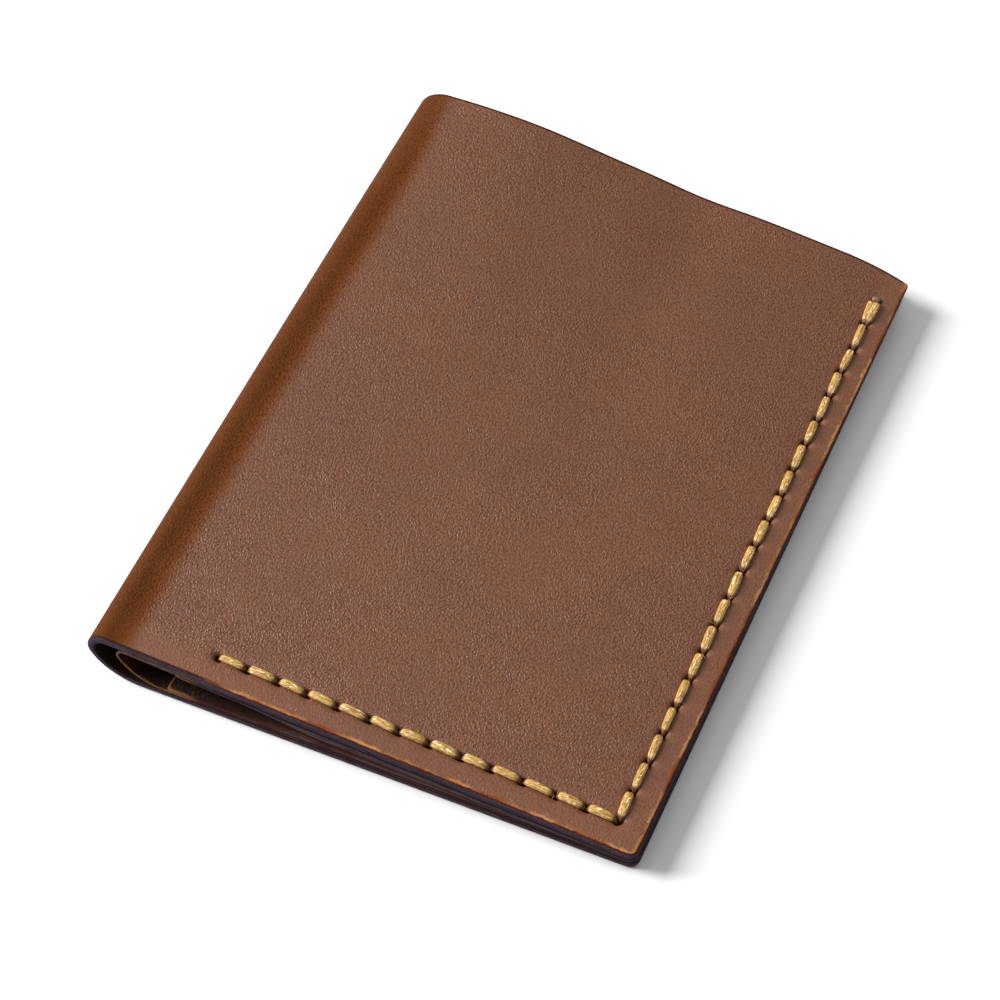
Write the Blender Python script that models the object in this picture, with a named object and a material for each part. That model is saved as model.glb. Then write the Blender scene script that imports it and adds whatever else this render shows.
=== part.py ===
"""Folding leather card holder: two stitched halves joined by a rounded, loosely lined spine.

The holder lies closed on its back half.  +X runs from the spine to the free edges, +Y from the
stitched bottom edge to the open top edge, and +Z up.  The origin is the centre of the footprint,
on the surface that the back half rests on.

Every leather layer is drawn flat first, in its own coordinates: the distance in from the free
edge, the height y along the spine, and the depth below the outer face of the shell.  A FoldPath
then lays that flat layer along the closed section of the holder.
"""
import math

import bmesh
import bpy

MM = 0.001

# Closed holder
WIDTH = 78.0 * MM            # spine to free edge
HEIGHT = 100.0 * MM          # bottom edge to top edge
FREE_EDGE = 4.7 * MM         # both halves together, at the free edge
FRONT_SKEW = 0.8 * MM        # the front half's free edge sits this much nearer the bottom
BACK_RECESS = 0.7 * MM       # the back half's free edge stops this far short of the front's

# Leather layers of each half, from outside to inside
SHELL = 1.15 * MM
LINER = 0.35 * MM
POCKET = 0.5 * MM
GLUE = 0.1 * MM
LINER_DEPTH = SHELL + GLUE
POCKET_DEPTH = LINER_DEPTH + LINER + GLUE
STACK = POCKET_DEPTH + POCKET

# Closed section, at the bottom edge and at the top edge, which gapes a little wider
COVER_SLOPE = (math.radians(3.0), math.radians(7.5))
SPINE_LEFT = (0.0, 1.7 * MM)
SPINE_TOP_RADIUS = (2.9 * MM, 4.4 * MM)
LINER_LEFT = (4.4 * MM, 5.8 * MM)
LINER_TOP_RADIUS = (1.1 * MM, 1.1 * MM)
LOWER_TURN = math.radians(70.0)     # how far the spine's gentle lower curve turns

# Where each layer is parted between the halves and the two spine strips, measured along it
SHELL_BACK_END = 73.0 * MM
SHELL_FRONT_END = 75.7 * MM
LINER_BACK_END = 68.9 * MM
LINER_FRONT_END = 72.6 * MM
STRIP_SHARE = 0.68           # the lower strip's share of the spine between the halves
PARTING = 0.3 * MM

# Outlines
SHELL_CORNER = 1.5 * MM
LINER_DROP = 1.5 * MM        # the liner stops this far below the shell's top edge
POCKET_TOP = 28.2 * MM       # y of the card pocket's mouth
POCKET_INNER = 66.0 * MM     # the pocket's spine-side edge, in from the free edge
POCKET_CORNER = 2.0 * MM
NOTCH_RADIUS = 9.0 * MM      # thumb notch in the pocket's mouth
NOTCH_DEPTH = 6.0 * MM

# Stitching
PITCH = 4.5 * MM
ROW_PITCH = 4.35 * MM                # along the bottom row
BOTTOM_STITCHES = 13
SIDE_STITCHES = 20
SIDE_MARGIN = 3.5 * MM
BOTTOM_MARGIN = 3.85 * MM
POCKET_SEAM_MARGIN = 2.0 * MM
POCKET_SEAM_STITCHES = 15
HOLE = (1.1 * MM, 1.4 * MM)          # along and across the seam
CORNER_HOLE = 1.8 * MM
THREAD_HALF_WIDTH = 0.5 * MM
POST_HALF_LENGTH = 0.35 * MM
CORNER_POST_HALF_LENGTH = 0.6 * MM
THREAD_REST = 0.05 * MM              # thread to leather
THREAD_CROWN = 0.4 * MM              # a stitch on the front face stands this high at its middle
THREAD_DIP = 0.15 * MM               # and this thick where it goes into a hole
INNER_THREAD = 0.12 * MM             # the flattened stitches inside
BACK_GROOVE = 0.5 * MM               # sunken channel that keeps the back stitches off the table
SEAM_GROOVE = 0.35 * MM              # channel in the shell's inner face, behind the pocket seam
GROOVE_WIDTH = 1.8 * MM

# Grid that lets a flat layer follow the curved section
ROWS = 8
STRAIGHT_COLUMNS = 4
CURVE_START = 56.0 * MM
CURVE_STEP = 2.5 * MM
STRIP_COLUMNS = 5
STRIP_ROWS = 4


def clear_scene():
    for obj in list(bpy.data.objects):
        bpy.data.objects.remove(obj, do_unlink=True)


def leather(name, colour, roughness):
    material = bpy.data.materials.new(name)
    material.use_nodes = True
    shader = material.node_tree.nodes["Principled BSDF"]
    shader.inputs["Base Color"].default_value = (*colour, 1.0)
    shader.inputs["Roughness"].default_value = roughness
    shader.inputs["Metallic"].default_value = 0.0
    return material


# ---------------------------------------------------------------- closed section

def between(pair, y):
    """A value given at the bottom edge and at the top edge, at height y."""
    share = (y + HEIGHT / 2) / HEIGHT
    return pair[0] + (pair[1] - pair[0]) * share


class FoldPath:
    """One layer's outer line in the section at height y.

    It runs along the back half from its free edge, round the lower curve and the tighter top
    curve of the spine, and down the sloping front half to that half's free edge.
    """

    def __init__(self, y, depth, left, top_radius):
        self.depth = depth
        self.slope = between(COVER_SLOPE, y)
        self.top_radius = between(top_radius, y)
        leftmost = between(left, y)
        sine, cosine = math.sin(self.slope), math.cos(self.slope)
        r = self.top_radius
        rise = (WIDTH - leftmost - r) * sine + (FREE_EDGE - depth - r) * cosine - depth - r
        growth = rise / ((1 - math.cos(LOWER_TURN)) * cosine)
        self.low_radius = r + growth
        self.tangent_x = leftmost + r + growth * math.sin(LOWER_TURN)
        self.top_centre = (leftmost + r, depth + r + growth * (1 - math.cos(LOWER_TURN)))
        self.low_centre = (self.tangent_x, depth + self.low_radius)
        self.back = WIDTH - BACK_RECESS - self.tangent_x
        self.low = self.low_radius * LOWER_TURN
        self.top = r * (math.pi + self.slope - LOWER_TURN)
        start_x = self.top_centre[0] + r * sine
        end_x = WIDTH - depth * sine
        self.front = (end_x - start_x) / cosine
        self.length = self.back + self.low + self.top + self.front

    def point(self, run, inward):
        """x and z at a distance run along the line and a distance inward from it."""
        if run <= self.back:
            return WIDTH - BACK_RECESS - run, self.depth + inward
        if run <= self.back + self.low:
            turn = (run - self.back) / self.low_radius
            reach = self.low_radius - inward
            centre = self.low_centre
        else:
            turn = LOWER_TURN + (run - self.back - self.low) / self.top_radius
            turn = min(turn, math.pi + self.slope)
            reach = self.top_radius - inward
            centre = self.top_centre
        x = centre[0] - reach * math.sin(turn)
        z = centre[1] - reach * math.cos(turn)
        past = run - (self.length - self.front)
        if past > 0:
            x += past * math.cos(self.slope)
            z -= past * math.sin(self.slope)
        return x, z


def shell_path(y):
    return FoldPath(y, 0.0, SPINE_LEFT, SPINE_TOP_RADIUS)


def liner_path(y):
    return FoldPath(y, LINER_DEPTH, LINER_LEFT, LINER_TOP_RADIUS)


def row_frame(x, y, z):
    """Moves a point from the spine-based section to the part's own frame."""
    return x - WIDTH / 2, y + FRONT_SKEW / 2, z


def lay_back(path_at):
    """Places (distance in from the free edge, y, depth) on the back half."""
    def place(inset, y, depth):
        path = path_at(y)
        x, z = path.point(inset, depth - path.depth)
        return row_frame(x, y, z)
    return place


def lay_front(path_at):
    """Places (distance in from the free edge, y, depth) on the front half."""
    def place(inset, y, depth):
        path = path_at(y)
        x, z = path.point(path.length - inset, depth - path.depth)
        return row_frame(x, y - FRONT_SKEW * x / WIDTH, z)
    return place


# ---------------------------------------------------------------- mesh helpers

def add_object(name, mesh, material):
    mesh.name = name
    mesh.materials.clear()
    mesh.materials.append(material)
    mesh.shade_smooth()
    mesh.set_sharp_from_angle(angle=math.radians(30))
    obj = bpy.data.objects.new(name, mesh)
    bpy.context.scene.collection.objects.link(obj)
    return obj


def finish_mesh(bm, place):
    """Moves a flat mesh onto the holder and turns its faces outward."""
    for vert in bm.verts:
        vert.co = place(*vert.co)
    bmesh.ops.recalc_face_normals(bm, faces=bm.faces[:])
    mesh = bpy.data.meshes.new("layer")
    bm.to_mesh(mesh)
    bm.free()
    return mesh


def arc(centre, radius, start, end, steps):
    points = []
    for i in range(steps + 1):
        angle = start + (end - start) * i / steps
        points.append((centre[0] + radius * math.cos(angle), centre[1] + radius * math.sin(angle)))
    return points


def boxes_mesh(boxes):
    """A mesh of plain boxes, each given as its low and high corners."""
    bm = bmesh.new()
    for low, high in boxes:
        made = bmesh.ops.create_cube(bm, size=1.0)["verts"]
        for vert in made:
            for axis in range(3):
                middle, size = (low[axis] + high[axis]) / 2, high[axis] - low[axis]
                vert.co[axis] = middle + vert.co[axis] * size
    mesh = bpy.data.meshes.new("cutter")
    bm.to_mesh(mesh)
    bm.free()
    return mesh


def flat_layer(outline, depth, thickness):
    """A closed flat plate, cut by grid lines so that it can follow the fold."""
    bm = bmesh.new()
    face = bm.faces.new([bm.verts.new((x, y, depth)) for x, y in outline])
    grown = bmesh.ops.extrude_face_region(bm, geom=[face])["geom"]
    for item in grown:
        if isinstance(item, bmesh.types.BMVert):
            item.co.z += thickness
    bmesh.ops.recalc_face_normals(bm, faces=bm.faces[:])
    reach = max(x for x, _ in outline)
    cuts = [((i + 1) * CURVE_START / STRAIGHT_COLUMNS, 0) for i in range(STRAIGHT_COLUMNS)]
    inset = CURVE_START + CURVE_STEP
    while inset < reach - 0.5 * CURVE_STEP:
        cuts.append((inset, 0))
        inset += CURVE_STEP
    cuts += [(-HEIGHT / 2 + HEIGHT * i / ROWS, 1) for i in range(1, ROWS)]
    for value, axis in cuts:
        point, normal = [0.0, 0.0, 0.0], [0.0, 0.0, 0.0]
        point[axis], normal[axis] = value, 1.0
        everything = bm.verts[:] + bm.edges[:] + bm.faces[:]
        bmesh.ops.bisect_plane(bm, geom=everything, plane_co=point, plane_no=normal)
    return bm


def cut_layer(name, bm, cutter_boxes, place, material):
    """Punches the flat plate, lays it on the holder and names it."""
    flat = bpy.data.meshes.new("flat")
    bm.to_mesh(flat)
    bm.free()
    plate = bpy.data.objects.new("plate", flat)
    cutter = bpy.data.objects.new("cutter", boxes_mesh(cutter_boxes))
    cutter.hide_render = True
    cutter.display_type = "WIRE"
    for obj in (plate, cutter):
        bpy.context.scene.collection.objects.link(obj)
    punch = plate.modifiers.new("punch", "BOOLEAN")
    punch.operation = "DIFFERENCE"
    punch.object = cutter
    punch.use_self = True
    graph = bpy.context.evaluated_depsgraph_get()
    punched = bpy.data.meshes.new_from_object(plate.evaluated_get(graph))
    for obj in (plate, cutter):
        bpy.data.objects.remove(obj, do_unlink=True)
    shaped = bmesh.new()
    shaped.from_mesh(punched)
    return add_object(name, finish_mesh(shaped, place), material)


# ---------------------------------------------------------------- outlines and holes

def half_outline(inner_end, top):
    """One half of the shell or liner: square at the spine, rounded at the free corners."""
    bottom, r = -HEIGHT / 2, SHELL_CORNER
    points = [(inner_end, bottom), (inner_end, top)]
    points += arc((r, top - r), r, math.pi / 2, math.pi, 3)
    points += arc((r, bottom + r), r, math.pi, 1.5 * math.pi, 3)
    return points


def pocket_outline():
    """The card pocket: a thumb notch in its mouth and rounded corners."""
    bottom, top = -HEIGHT / 2, POCKET_TOP
    r, inner = POCKET_CORNER, POCKET_INNER
    points = arc((inner - r, bottom + r), r, -math.pi / 2, 0.0, 3)
    points += [(inner, top)]
    half = math.acos((NOTCH_RADIUS - NOTCH_DEPTH) / NOTCH_RADIUS)
    centre = (inner / 2, top + NOTCH_RADIUS - NOTCH_DEPTH)
    points += arc(centre, NOTCH_RADIUS, -math.pi / 2 + half, -math.pi / 2 - half, 10)
    points += [(0.0, top)]
    r = SHELL_CORNER
    points += arc((r, bottom + r), r, math.pi, 1.5 * math.pi, 3)
    return points


def edge_seam():
    """Holes of the L-shaped seam, from the spine end of the bottom row to the top of the side."""
    corner = (SIDE_MARGIN, -HEIGHT / 2 + BOTTOM_MARGIN)
    row = [(corner[0] + ROW_PITCH * i, corner[1]) for i in range(BOTTOM_STITCHES, 0, -1)]
    column = [(corner[0], corner[1] + PITCH * i) for i in range(SIDE_STITCHES + 1)]
    return row + column


def pocket_seam():
    """Holes of the short seam that closes the pocket on its spine side."""
    inset = POCKET_INNER - POCKET_SEAM_MARGIN
    top = POCKET_TOP - POCKET_SEAM_MARGIN
    return [(inset, top - PITCH * i) for i in range(POCKET_SEAM_STITCHES + 1)]


def directions(holes, i):
    """Unit directions of the seam just before and just after hole i."""
    def unit(a, b):
        length = math.dist(a, b)
        return (b[0] - a[0]) / length, (b[1] - a[1]) / length
    before = unit(holes[max(i - 1, 0)], holes[max(i, 1)])
    after = unit(holes[min(i, len(holes) - 2)], holes[min(i + 1, len(holes) - 1)])
    return before, after


def hole_boxes(holes, depth, thickness, top=HEIGHT):
    """Box cutters for the holes of a seam below height top, right through one layer."""
    boxes = []
    for i, (inset, y) in enumerate(holes):
        if y > top:
            continue
        before, after = directions(holes, i)
        if before != after:
            half = (CORNER_HOLE / 2, CORNER_HOLE / 2)
        elif before[0]:
            half = (HOLE[0] / 2, HOLE[1] / 2)
        else:
            half = (HOLE[1] / 2, HOLE[0] / 2)
        boxes.append(((inset - half[0], y - half[1], depth - MM),
                      (inset + half[0], y + half[1], depth + thickness + MM)))
    return boxes


def groove_boxes(holes, low, high):
    """Channel cutters along a seam's straight runs, from depth low to depth high."""
    boxes = []
    start = 0
    for i in range(1, len(holes)):
        before, after = directions(holes, i)
        if before == after and i < len(holes) - 1:
            continue
        a, b = holes[start], holes[i]
        half = GROOVE_WIDTH / 2
        boxes.append(((min(a[0], b[0]) - half, min(a[1], b[1]) - half, low),
                      (max(a[0], b[0]) + half, max(a[1], b[1]) + half, high)))
        start = i
    return boxes


# ---------------------------------------------------------------- leather pieces

def shell_half(name, end, place, groove_back, material):
    bm = flat_layer(half_outline(end, HEIGHT / 2), 0.0, SHELL)
    cutters = hole_boxes(edge_seam(), 0.0, SHELL)
    cutters += groove_boxes(pocket_seam(), SHELL - SEAM_GROOVE, SHELL + MM)
    if groove_back:
        cutters += groove_boxes(edge_seam(), -MM, BACK_GROOVE)
    return cut_layer(name, bm, cutters, place, material)


def liner_half(name, end, place, material):
    bm = flat_layer(half_outline(end, HEIGHT / 2 - LINER_DROP), LINER_DEPTH, LINER)
    cutters = hole_boxes(edge_seam(), LINER_DEPTH, LINER)
    cutters += hole_boxes(pocket_seam(), LINER_DEPTH, LINER)
    return cut_layer(name, bm, cutters, place, material)


def card_pocket(name, place, material):
    bm = flat_layer(pocket_outline(), POCKET_DEPTH, POCKET)
    cutters = hole_boxes(edge_seam(), POCKET_DEPTH, POCKET, POCKET_TOP)
    cutters += hole_boxes(pocket_seam(), POCKET_DEPTH, POCKET)
    return cut_layer(name, bm, cutters, place, material)


def spine_strip(name, path_at, ends, share, thickness, top, material):
    """One strip of the spine's bend, between two shares of the run from half to half."""
    back_end, front_end = ends
    bottom = -HEIGHT / 2
    bm = bmesh.new()
    sides = []
    for inward in (0.0, thickness):
        grid = []
        for j in range(STRIP_ROWS + 1):
            y = bottom + (top - bottom) * j / STRIP_ROWS
            path = path_at(y)
            gap = path.length - back_end - front_end
            start = back_end + gap * share[0] + PARTING / 2
            end = back_end + gap * share[1] - PARTING / 2
            line = []
            for i in range(STRIP_COLUMNS + 1):
                x, z = path.point(start + (end - start) * i / STRIP_COLUMNS, inward)
                line.append(bm.verts.new(row_frame(x, y, z)))
            grid.append(line)
        sides.append(grid)
    for grid in sides:
        for low, high in zip(grid, grid[1:]):
            for i in range(STRIP_COLUMNS):
                bm.faces.new((low[i], low[i + 1], high[i + 1], high[i]))
    rims = []
    for grid in sides:
        rims.append(grid[0] + [line[-1] for line in grid[1:]]
                    + grid[-1][-2::-1] + [line[0] for line in grid[-2:0:-1]])
    count = len(rims[0])
    for i in range(count):
        k = (i + 1) % count
        bm.faces.new((rims[0][i], rims[0][k], rims[1][k], rims[1][i]))
    bmesh.ops.recalc_face_normals(bm, faces=bm.faces[:])
    mesh = bpy.data.meshes.new(name)
    bm.to_mesh(mesh)
    bm.free()
    return add_object(name, mesh, material)


# ---------------------------------------------------------------- thread

def seam_stations(holes):
    """Sections along a seam: its centre, the way across, and whether a hole or a stitch follows."""
    stations = []
    for i, hole in enumerate(holes):
        before, after = directions(holes, i)
        turning = before != after
        half = CORNER_POST_HALF_LENGTH if turning else POST_HALF_LENGTH
        across_before, across_after = (-before[1], before[0]), (-after[1], after[0])
        stations.append(((hole[0] - half * before[0], hole[1] - half * before[1]),
                         across_before, "hole"))
        if turning:
            mitre = (across_before[0] + across_after[0], across_before[1] + across_after[1])
            stations.append((hole, mitre, "hole"))
        stations.append(((hole[0] + half * after[0], hole[1] + half * after[1]),
                         across_after, "stitch"))
        if i + 1 < len(holes):
            middle = ((hole[0] + holes[i + 1][0]) / 2, (hole[1] + holes[i + 1][1]) / 2)
            stations.append((middle, across_after, "middle"))
    return stations


def seam_thread(name, holes, levels_at, place, material):
    """A saddle-stitched thread as one closed body.

    Stitches on both faces are joined through every hole.  levels_at(kind, y) gives four depths:
    the top and underside of the outer stitch, and the underside and top of the inner one.
    """
    stations = seam_stations(holes)
    quads = []
    for i in range(len(stations) - 1):
        quads.append([(i, 0), (i + 1, 0), (i + 1, 1), (i, 1)])
        quads.append([(i, 2), (i + 1, 2), (i + 1, 3), (i, 3)])
        if stations[i][2] == "hole":
            quads.append([(i, 1), (i + 1, 1), (i + 1, 2), (i, 2)])
    used = {}
    for quad in quads:
        for a, b in zip(quad, quad[1:] + quad[:1]):
            key = (min(a, b), max(a, b))
            used[key] = used.get(key, 0) + 1
    bm = bmesh.new()
    verts = {}
    for i, (centre, across, kind) in enumerate(stations):
        levels = levels_at(kind, centre[1])
        for side in (-1, 1):
            inset = centre[0] + side * THREAD_HALF_WIDTH * across[0]
            y = centre[1] + side * THREAD_HALF_WIDTH * across[1]
            for level, depth in enumerate(levels):
                verts[side, i, level] = bm.verts.new((inset, y, depth))
    for quad in quads:
        for side in (-1, 1):
            bm.faces.new([verts[side, i, level] for i, level in quad])
    for (a, b), count in used.items():
        if count == 1:
            bm.faces.new((verts[-1, a[0], a[1]], verts[-1, b[0], b[1]],
                          verts[1, b[0], b[1]], verts[1, a[0], a[1]]))
    return add_object(name, finish_mesh(bm, place), material)


def edge_levels(sunk):
    """Depths of the edge seam's thread, whose inner stitches step down above the pocket."""
    def levels_at(kind, y):
        thick = THREAD_CROWN if kind == "middle" else THREAD_DIP
        inside = STACK if y < POCKET_TOP + PITCH / 4 else POCKET_DEPTH - GLUE
        return (sunk - THREAD_REST - thick, sunk - THREAD_REST,
                inside + THREAD_REST, inside + THREAD_REST + INNER_THREAD)
    return levels_at


def pocket_levels(kind, y):
    """Depths of the pocket seam's thread: hidden behind the liner, showing on the pocket."""
    hidden = LINER_DEPTH - THREAD_REST
    return (hidden - INNER_THREAD, hidden, STACK + THREAD_REST, STACK + THREAD_REST + INNER_THREAD)


# ---------------------------------------------------------------- joints

def fold_corners():
    """Corners of the outline drawn round the spine half way up, where the joint axes run."""
    path = shell_path(0.0)
    first = (path.tangent_x - path.low_radius * math.tan(LOWER_TURN / 2), 0.0)
    corners = [first]
    turn_each = (math.pi + path.slope - LOWER_TURN) / 2
    reach = path.top_radius / math.cos(turn_each / 2)
    for k in range(2):
        turn = LOWER_TURN + turn_each * (k + 0.5)
        corners.append((path.top_centre[0] - reach * math.sin(turn),
                        path.top_centre[1] - reach * math.cos(turn)))
    return corners


def add_joint_empties():
    """Each moving body hangs from an empty on its joint's axis."""
    empties = []
    parent = None
    for name, (x, z) in zip(("back_fold", "spine_fold", "front_fold"), fold_corners()):
        empty = bpy.data.objects.new(name, None)
        empty.empty_display_size = 10 * MM
        bpy.context.scene.collection.objects.link(empty)
        place = row_frame(x, 0.0, z)
        empty.location = place
        if parent:
            empty.parent = parent[0]
            empty.location = [a - b for a, b in zip(place, parent[1])]
        parent = (empty, place)
        empties.append(parent)
    return empties


def hang(obj, empty):
    """Parents a piece to its joint's empty without moving it."""
    holder, place = empty
    obj.parent = holder
    obj.location = [-value for value in place]


def main():
    clear_scene()
    shell_leather = leather("shell_leather", (0.185, 0.083, 0.052), 0.45)
    liner_leather = leather("liner_leather", (0.165, 0.072, 0.045), 0.6)
    waxed_thread = leather("waxed_thread", (0.62, 0.37, 0.12), 0.5)
    back_fold, spine_fold, front_fold = add_joint_empties()

    shell_half("shell_back", SHELL_BACK_END - PARTING / 2, lay_back(shell_path), True,
               shell_leather)
    liner_half("liner_back", LINER_BACK_END - PARTING / 2, lay_back(liner_path), liner_leather)
    card_pocket("pocket_back", lay_back(liner_path), shell_leather)
    seam_thread("edge_seam_back", edge_seam(), edge_levels(BACK_GROOVE), lay_back(shell_path),
                waxed_thread)
    seam_thread("pocket_seam_back", pocket_seam(), pocket_levels, lay_back(liner_path),
                waxed_thread)

    front = [
        shell_half("shell_front", SHELL_FRONT_END - PARTING / 2, lay_front(shell_path), False,
                   shell_leather),
        liner_half("liner_front", LINER_FRONT_END - PARTING / 2, lay_front(liner_path),
                   liner_leather),
        card_pocket("pocket_front", lay_front(liner_path), shell_leather),
        seam_thread("edge_seam_front", edge_seam(), edge_levels(0.0), lay_front(shell_path),
                    waxed_thread),
        seam_thread("pocket_seam_front", pocket_seam(), pocket_levels, lay_front(liner_path),
                    waxed_thread),
    ]
    for piece in front:
        hang(piece, front_fold)

    shell_ends = (SHELL_BACK_END, SHELL_FRONT_END)
    liner_ends = (LINER_BACK_END, LINER_FRONT_END)
    strips = (("lower", (0.0, STRIP_SHARE), back_fold), ("upper", (STRIP_SHARE, 1.0), spine_fold))
    for label, share, empty in strips:
        hang(spine_strip("shell_spine_" + label, shell_path, shell_ends, share, SHELL,
                         HEIGHT / 2, shell_leather), empty)
        hang(spine_strip("liner_spine_" + label, liner_path, liner_ends, share, LINER,
                         HEIGHT / 2 - LINER_DROP, liner_leather), empty)


main()
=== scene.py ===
"""Looks of the folding leather card holder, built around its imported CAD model.

Every leather layer is drawn flat, in millimetre-true coordinates: the distance in from its half's
free edge (inset), the height y along the spine, and the depth below the shell's outer face.  The
same section curve as in the CAD model then lays it round the closed holder.  The flat coordinates
stay on each mesh as the attribute "flat", in millimetres, and the leather's grain is drawn in them.
"""
import math
import random

import bmesh
import bpy
import numpy as np
from mathutils import Matrix, Vector


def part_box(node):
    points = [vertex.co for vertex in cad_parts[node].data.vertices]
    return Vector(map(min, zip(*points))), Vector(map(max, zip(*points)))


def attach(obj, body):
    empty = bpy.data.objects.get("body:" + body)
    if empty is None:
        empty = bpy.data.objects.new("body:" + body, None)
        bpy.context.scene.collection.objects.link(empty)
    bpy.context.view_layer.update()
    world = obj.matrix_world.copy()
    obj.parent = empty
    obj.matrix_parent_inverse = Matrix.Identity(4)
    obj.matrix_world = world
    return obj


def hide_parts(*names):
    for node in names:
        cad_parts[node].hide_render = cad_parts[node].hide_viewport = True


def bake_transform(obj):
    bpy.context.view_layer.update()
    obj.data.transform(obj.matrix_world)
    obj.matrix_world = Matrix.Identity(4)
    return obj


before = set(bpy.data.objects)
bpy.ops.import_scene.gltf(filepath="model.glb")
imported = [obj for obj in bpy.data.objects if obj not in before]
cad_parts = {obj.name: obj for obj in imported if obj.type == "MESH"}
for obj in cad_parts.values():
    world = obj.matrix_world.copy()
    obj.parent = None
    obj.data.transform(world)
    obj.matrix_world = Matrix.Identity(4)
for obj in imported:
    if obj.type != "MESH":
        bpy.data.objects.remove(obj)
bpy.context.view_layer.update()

MM = 0.001

# Driving dimensions of the CAD model.  A pair is a value at the bottom edge and at the top edge.
HEIGHT = 100.0 * MM
FREE_EDGE = 4.7 * MM
FRONT_SKEW = 0.8 * MM
BACK_RECESS = 0.7 * MM
SHELL = 1.15 * MM
LINER = 0.35 * MM
POCKET = 0.5 * MM
GLUE = 0.1 * MM
LINER_DEPTH = SHELL + GLUE
POCKET_DEPTH = LINER_DEPTH + LINER + GLUE
STACK = POCKET_DEPTH + POCKET
COVER_SLOPE = (math.radians(3.0), math.radians(7.5))
SPINE_LEFT = (0.0, 1.45 * MM)
SPINE_TOP_RADIUS = (2.9 * MM, 4.4 * MM)
LINER_LEFT = (4.4 * MM, 5.8 * MM)
LINER_TOP_RADIUS = (1.1 * MM, 1.1 * MM)
LOWER_TURN = math.radians(70.0)
SHELL_ENDS = (73.0 * MM, 75.7 * MM)
LINER_ENDS = (68.9 * MM, 72.6 * MM)
STRIP_SHARE = 0.68
SHELL_CORNER = 1.5 * MM
LINER_DROP = 1.5 * MM
POCKET_TOP = 28.2 * MM
POCKET_INNER = 66.0 * MM
POCKET_CORNER = 2.0 * MM
NOTCH_RADIUS = 9.0 * MM
NOTCH_DEPTH = 6.0 * MM
PITCH = 4.5 * MM
ROW_PITCH = 4.35 * MM
BOTTOM_STITCHES = 13
SIDE_STITCHES = 20
SIDE_MARGIN = 3.5 * MM
BOTTOM_MARGIN = 3.85 * MM
POCKET_SEAM_MARGIN = 2.0 * MM
POCKET_SEAM_STITCHES = 15
BACK_GROOVE = 0.5 * MM

# What the real leather adds to the CAD model's even shapes
SIDE_LEAN = (0.35 * MM, -0.38 * MM)         # the side seam runs a little toward the edge
TOP_END_RISE = 0.3 * MM                     # the top edge curls up a little
TOP_END_SAG = 1.05 * MM                     # the spine's top end is rounded over
TOP_END_WAVE = (0.65 * MM, 0.6 * MM)        # beside it the cover stands proud, then dips
SAG_AT = (2.8 * MM, 6.8 * MM)               # middle and reach of the sag, across the width
PROUD_AT = (22.0 * MM, 9.0 * MM)
DIP_AT = (46.5 * MM, 7.0 * MM)
CORNER_TRIM = 1.2 * MM                      # the top edge is cut down toward the free corner
CORNER_TRIM_REACH = (10.0 * MM, 7.0 * MM)   # from the free edge, and from the top edge
TOP_CORNER, BOTTOM_CORNER = 0.35 * MM, 0.95 * MM
EDGE_UNDERCUT = (-0.12, 0.15)               # the front's free edge is trimmed under, per depth
BACK_LEAN = (-0.55 * MM, 0.35 * MM)         # the back's free edge runs a little off the front's
BACK_DROP = 0.25 * MM                       # the back half hangs this far below its place
FULL_TO = 44.0 * MM                         # the pockets' stitched ends fill the fold up to here
FULL_FADE = 12.0 * MM                       # and thin out over this stretch toward the spine
FULL_HEIGHT = 22.0 * MM                     # and over this height above the bottom edge
FILL = (0.40, 0.54)                         # the back and front pockets' shares of the gap
SPINE_SHADE_FROM, SPINE_SHADE_FADE = 2.1 * MM, 7.8 * MM     # the band round the spine that gets painted shade and a duller gloss, and its soft side
SPINE_SHADE_TOP_SHIFT, SPINE_SHADE_TOP = 1.3 * MM, 14.0 * MM     # it narrows this much over the top stretch

back_low, back_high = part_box("shell_back")
WIDTH = 2 * (back_high.x + BACK_RECESS)     # the frame's origin is the middle of the width
BOTTOM, TOP = -HEIGHT / 2, HEIGHT / 2
FLOOR_Z = back_low.z


# ---- closed section ----

def between(pair, y):
    return pair[0] + (pair[1] - pair[0]) * (y - BOTTOM) / HEIGHT


def smooth(t):
    t = np.clip(t, 0.0, 1.0)
    return t * t * (3 - 2 * t)


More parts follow.
